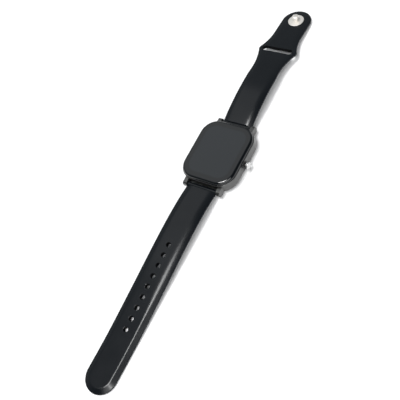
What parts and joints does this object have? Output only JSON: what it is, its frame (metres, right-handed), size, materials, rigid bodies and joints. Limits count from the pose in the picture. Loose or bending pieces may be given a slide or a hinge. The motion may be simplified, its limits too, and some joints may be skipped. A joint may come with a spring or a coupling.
{
  "type": "smartwatch",
  "caption": "Square smartwatch laid out flat: metal case, curved black cover glass, side crown, rear sensor window and a two-piece silicone pin-and-tuck strap.",
  "frame": {"origin": "centre of the flat sensor window on the back, where it touches the wrist", "axes": "+X to the crown, +Y to the short stud strap, -Y to the long holed strap, +Z out of the screen"},
  "size_m": [0.0389, 0.2702, 0.0101],
  "materials": {
    "case_metal": "satin bead-blasted anodised alloy",
    "black_plastic": "fine moulded texture",
    "black_glass": "polished, black printed back",
    "clear_window": "smoked, infrared-clear",
    "silicone": "soft-touch silicone",
    "nickel": "bright nickel plate",
    "steel": "turned stainless steel",
    "brass": "turned brass",
    "gold": "gold plated",
    "seal_rubber": "moulded seal",
    "board": "solder-masked laminate",
    "chip_black": "moulded epoxy",
    "foil": "pouch foil",
    "tape": "foam tape",
    "panel": "display stack",
    "flex": "polyimide",
    "magnet": "nickel plated magnet",
    "led": "clear encapsulant"
  },
  "bodies": {
    "case": {"case_frame": "case_metal", "rear_cover": "black_plastic", "rear_gasket": "seal_rubber", "rear_screws": "steel", "sensor_window": "clear_window", "sensor_board": "board", "sensor_leds": "led", "sensor_photodiode": "chip_black", "sensor_shield": "tape", "charging_pins": "gold", "charging_magnets": "magnet", "inner_bracket": "black_plastic", "main_board": "board", "processor_chip": "chip_black", "memory_chip": "chip_black", "shield_can": "steel", "battery": "foil", "battery_pad": "tape", "display_panel": "panel", "display_tray": "steel", "display_flex": "flex", "glass_adhesive": "tape", "cover_glass": "black_glass", "motor_can": "steel", "motor_lid": "steel", "crown_collar": "black_plastic", "crown_tube": "brass", "switch_body": "chip_black", "long_bar_barrel": "steel", "long_bar_spring": "steel", "short_bar_barrel": "steel", "short_bar_spring": "steel"},
    "motor_rotor": {"motor_rotor": "brass"},
    "crown_slider": {"crown_pusher": "black_plastic"},
    "crown": {"crown_knob": "case_metal", "crown_stem": "steel", "crown_seal": "seal_rubber", "crown_clip": "steel"},
    "switch_plunger": {"switch_plunger": "black_plastic"},
    "long_strap": {"long_strap": "silicone"},
    "short_strap": {"short_strap": "silicone", "stud": "nickel", "stud_rivet": "nickel"},
    "long_left_pin": {"long_bar_left_pin": "steel"},
    "long_right_pin": {"long_bar_right_pin": "steel"},
    "short_left_pin": {"short_bar_left_pin": "steel"},
    "short_right_pin": {"short_bar_right_pin": "steel"}
  },
  "joints": [
    {"name": "long_strap_swing", "type": "hinge", "parent": "case", "child": "long_strap", "pos_m": [0, -0.02295, 0.0042], "axis": [1, 0, 0], "range_deg": [-45, 90]},
    {"name": "short_strap_swing", "type": "hinge", "parent": "case", "child": "short_strap", "pos_m": [0, 0.02295, 0.0042], "axis": [-1, 0, 0], "range_deg": [-45, 90]},
    {"name": "crown_press", "type": "slide", "parent": "case", "child": "crown_slider", "axis": [-1, 0, 0], "range_m": [0, 0.0004], "stiffness_N_per_m": 4000, "springref_m": -0.0001},
    {"name": "crown_turn", "type": "hinge", "parent": "crown_slider", "child": "crown", "pos_m": [0.018, -0.001, 0.005], "axis": [1, 0, 0], "continuous": true},
    {"name": "switch_press", "type": "slide", "parent": "case", "child": "switch_plunger", "axis": [-1, 0, 0], "range_m": [0, 0.0004]},
    {"name": "motor_spin", "type": "hinge", "parent": "case", "child": "motor_rotor", "pos_m": [-0.0095, -0.003, 0.0042], "axis": [0, 0, 1], "continuous": true},
    {"name": "long_left_pin_push", "type": "slide", "parent": "case", "child": "long_left_pin", "axis": [1, 0, 0], "range_m": [0, 0.0013], "stiffness_N_per_m": 1500, "springref_m": -0.0008, "deforming": ["long_bar_spring"]},
    {"name": "long_right_pin_push", "type": "slide", "parent": "case", "child": "long_right_pin", "axis": [-1, 0, 0], "range_m": [0, 0.0013], "stiffness_N_per_m": 1500, "springref_m": -0.0008, "deforming": ["long_bar_spring"]},
    {"name": "short_left_pin_push", "type": "slide", "parent": "case", "child": "short_left_pin", "axis": [1, 0, 0], "range_m": [0, 0.0013], "stiffness_N_per_m": 1500, "springref_m": -0.0008, "deforming": ["short_bar_spring"]},
    {"name": "short_right_pin_push", "type": "slide", "parent": "case", "child": "short_right_pin", "axis": [-1, 0, 0], "range_m": [0, 0.0013], "stiffness_N_per_m": 1500, "springref_m": -0.0008, "deforming": ["short_bar_spring"]}
  ],
  "couplings": [
    {"joint": "switch_press", "follows": "crown_press", "ratio": 1}
  ]
}
